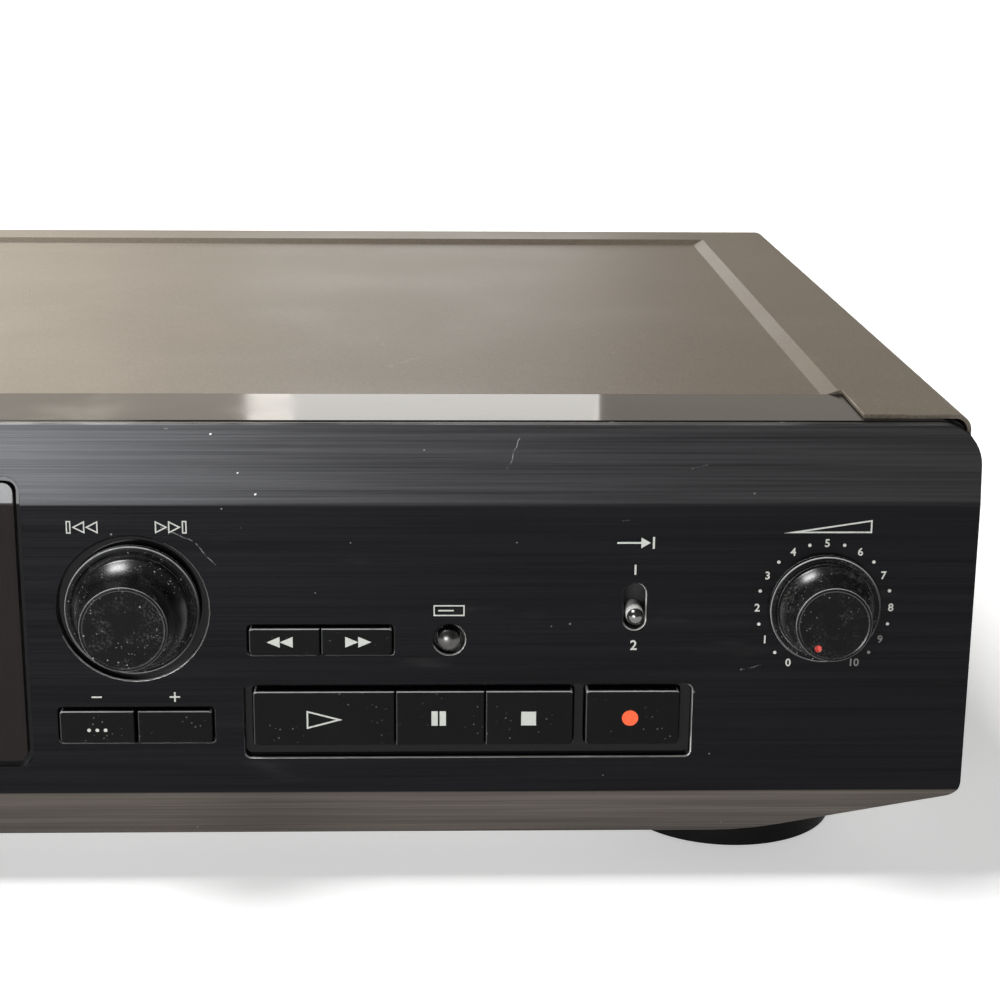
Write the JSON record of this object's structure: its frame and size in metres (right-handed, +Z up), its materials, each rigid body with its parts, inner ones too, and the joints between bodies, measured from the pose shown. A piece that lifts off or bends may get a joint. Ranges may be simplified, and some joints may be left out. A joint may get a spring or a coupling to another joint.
{
  "type": "minidisc deck",
  "caption": "Full-width front-loading disc deck with a flap-closed slot, jog and level knobs, push keys, two levers and a disc drive inside.",
  "frame": {"origin": "on the floor under the middle of the deck's box, knobs and rear jacks included", "axes": "+X to the right as seen from the front, +Y to the back, +Z up"},
  "size_m": [0.43, 0.2834, 0.095],
  "materials": {
    "cover_paint": "satin",
    "face_metal": "hairline",
    "bezel_gloss": "gloss",
    "window_smoke": "gloss",
    "key_black": "satin",
    "key_dark_metal": "satin",
    "knob_black": "satin",
    "lever_chrome": "polished",
    "light_red": "gloss",
    "foot_black": "matte",
    "pad_rubber": "matte",
    "zinc_steel": "satin",
    "rear_paint": "satin",
    "screw_steel": "satin",
    "bright_steel": "polished",
    "motor_case": "satin",
    "control_case": "satin",
    "switch_plastic": "matte",
    "tube_glass": "gloss",
    "board_brown": "satin",
    "component_black": "satin",
    "winding_copper": "satin",
    "cable_grey": "matte",
    "jack_plastic": "satin",
    "port_plastic": "satin",
    "gear_white": "satin",
    "sled_black": "satin"
  },
  "bodies": {
    "chassis": {"board_components": "component_black", "chassis_pan": "zinc_steel", "chassis_screws": "screw_steel", "cover_screws": "screw_steel", "display_tube": "tube_glass", "display_window": "window_smoke", "drive_frame": "zinc_steel", "face_plate": "face_metal", "flat_cable": "cable_grey", "foot_pads": "pad_rubber", "front_bezel": "bezel_gloss", "front_board": "board_brown", "front_left_foot": "foot_black", "front_right_foot": "foot_black", "guide_rods": "bright_steel", "jog_encoder": "control_case", "level_pot": "control_case", "line_jacks": "jack_plastic", "loading_motor": "motor_case", "main_board": "board_brown", "mains_inlet": "port_plastic", "mains_transformer": "winding_copper", "optical_ports": "port_plastic", "power_switch": "switch_plastic", "rear_left_foot": "foot_black", "rear_panel": "rear_paint", "rear_right_foot": "foot_black", "sled_motor": "motor_case", "slide_switches": "switch_plastic", "spindle_motor": "motor_case", "standby_light": "light_red", "tact_switches": "switch_plastic", "top_cover": "cover_paint"},
    "play": {"play_key": "key_black"},
    "pause": {"pause_key": "key_black"},
    "stop": {"stop_key": "key_black"},
    "record": {"record_key": "key_black"},
    "rewind": {"rewind_key": "key_black"},
    "forward": {"forward_key": "key_black"},
    "edit": {"edit_key": "key_black"},
    "yes": {"yes_key": "key_black"},
    "eject": {"eject_key": "key_black"},
    "display": {"display_key": "key_dark_metal"},
    "power": {"power_button": "key_black"},
    "input": {"input_lever": "lever_chrome"},
    "timer": {"timer_lever": "lever_chrome"},
    "jog_rotor": {"encoder_rotor": "switch_plastic"},
    "jog": {"jog_knob": "knob_black", "jog_shaft": "bright_steel"},
    "level": {"level_knob": "knob_black", "level_shaft": "bright_steel"},
    "flap": {"disc_flap": "key_black"},
    "slider": {"loading_slider": "bright_steel"},
    "holder": {"disc_holder": "zinc_steel"},
    "loader": {"loading_gear": "gear_white"},
    "pinion": {"motor_pinion": "gear_white"},
    "disc_table": {"turntable": "bright_steel"},
    "sled": {"pickup_sled": "sled_black"},
    "sled_wheel": {"sled_gear": "gear_white"},
    "head": {"head_arm": "bright_steel"}
  },
  "joints": [
    {"name": "play_press", "type": "slide", "parent": "chassis", "child": "play", "axis": [0, 1, 0], "range_m": [0, 0.0005], "stiffness_N_per_m": 1500},
    {"name": "pause_press", "type": "slide", "parent": "chassis", "child": "pause", "axis": [0, 1, 0], "range_m": [0, 0.0005], "stiffness_N_per_m": 1500},
    {"name": "stop_press", "type": "slide", "parent": "chassis", "child": "stop", "axis": [0, 1, 0], "range_m": [0, 0.0005], "stiffness_N_per_m": 1500},
    {"name": "record_press", "type": "slide", "parent": "chassis", "child": "record", "axis": [0, 1, 0], "range_m": [0, 0.0005], "stiffness_N_per_m": 1500},
    {"name": "rewind_press", "type": "slide", "parent": "chassis", "child": "rewind", "axis": [0, 1, 0], "range_m": [0, 0.0005], "stiffness_N_per_m": 1500},
    {"name": "forward_press", "type": "slide", "parent": "chassis", "child": "forward", "axis": [0, 1, 0], "range_m": [0, 0.0005], "stiffness_N_per_m": 1500},
    {"name": "edit_press", "type": "slide", "parent": "chassis", "child": "edit", "axis": [0, 1, 0], "range_m": [0, 0.0005], "stiffness_N_per_m": 1500},
    {"name": "yes_press", "type": "slide", "parent": "chassis", "child": "yes", "axis": [0, 1, 0], "range_m": [0, 0.0005], "stiffness_N_per_m": 1500},
    {"name": "eject_press", "type": "slide", "parent": "chassis", "child": "eject", "axis": [0, 1, 0], "range_m": [0, 0.0005], "stiffness_N_per_m": 1500},
    {"name": "display_press", "type": "slide", "parent": "chassis", "child": "display", "axis": [0, 1, 0], "range_m": [0, 0.0005], "stiffness_N_per_m": 1500},
    {"name": "power_press", "type": "slide", "parent": "chassis", "child": "power", "axis": [0, 1, 0], "range_m": [0, 0.0025], "stiffness_N_per_m": 500},
    {"name": "input_select", "type": "slide", "parent": "chassis", "child": "input", "axis": [0, 0, 1], "range_m": [0, 0.004]},
    {"name": "timer_select", "type": "slide", "parent": "chassis", "child": "timer", "axis": [1, 0, 0], "range_m": [-0.004, 0.004]},
    {"name": "jog_spin", "type": "hinge", "parent": "chassis", "child": "jog_rotor", "pos_m": [0.0527, -0.1163, 0.0578], "axis": [0, 1, 0], "continuous": true},
    {"name": "jog_push", "type": "slide", "parent": "jog_rotor", "child": "jog", "axis": [0, 1, 0], "range_m": [0, 0.001], "stiffness_N_per_m": 900},
    {"name": "level_turn", "type": "hinge", "parent": "chassis", "child": "level", "pos_m": [0.1859, -0.1293, 0.0579], "axis": [0, 1, 0], "range_deg": [0, 300]},
    {"name": "flap_swing", "type": "hinge", "parent": "chassis", "child": "flap", "pos_m": [-0.0417, -0.1242, 0.0746], "axis": [1, 0, 0], "range_deg": [0, 88], "stiffness_Nm_per_rad": 0.002},
    {"name": "slider_run", "type": "slide", "parent": "chassis", "child": "slider", "axis": [0, 1, 0], "range_m": [0, 0.016]},
    {"name": "holder_drop", "type": "slide", "parent": "chassis", "child": "holder", "axis": [0, 0, 1], "range_m": [-0.004, 0]},
    {"name": "loading_gear_spin", "type": "hinge", "parent": "chassis", "child": "loader", "pos_m": [-0.09356, -0.0528, 0.057], "axis": [0, 0, 1], "range_deg": [0, 114.69]},
    {"name": "motor_pinion_spin", "type": "hinge", "parent": "chassis", "child": "pinion", "pos_m": [-0.10556, -0.0528, 0.057], "axis": [0, 0, 1], "range_deg": [-229.28, 0]},
    {"name": "turntable_spin", "type": "hinge", "parent": "chassis", "child": "disc_table", "pos_m": [-0.0417, -0.0763, 0.0585], "axis": [0, 0, 1], "continuous": true},
    {"name": "sled_run", "type": "slide", "parent": "chassis", "child": "sled", "axis": [1, 0, 0], "range_m": [0, 0.015]},
    {"name": "sled_gear_spin", "type": "hinge", "parent": "chassis", "child": "sled_wheel", "pos_m": [-0.0157, -0.04974, 0.0572], "axis": [0, 0, 1], "range_deg": [0, 107.53]},
    {"name": "head_lower", "type": "hinge", "parent": "sled", "child": "head", "pos_m": [0.0013, -0.0763, 0.0795], "axis": [0, -1, 0], "range_deg": [0, 5], "stiffness_Nm_per_rad": 0.02, "springref_deg": -2.86}
  ],
  "couplings": [
    {"joint": "holder_drop", "follows": "slider_run", "ratio": -0.25},
    {"joint": "loading_gear_spin", "follows": "slider_run", "rad_per_m": 125},
    {"joint": "motor_pinion_spin", "follows": "slider_run", "rad_per_m": -250},
    {"joint": "sled_gear_spin", "follows": "sled_run", "rad_per_m": 125}
  ]
}
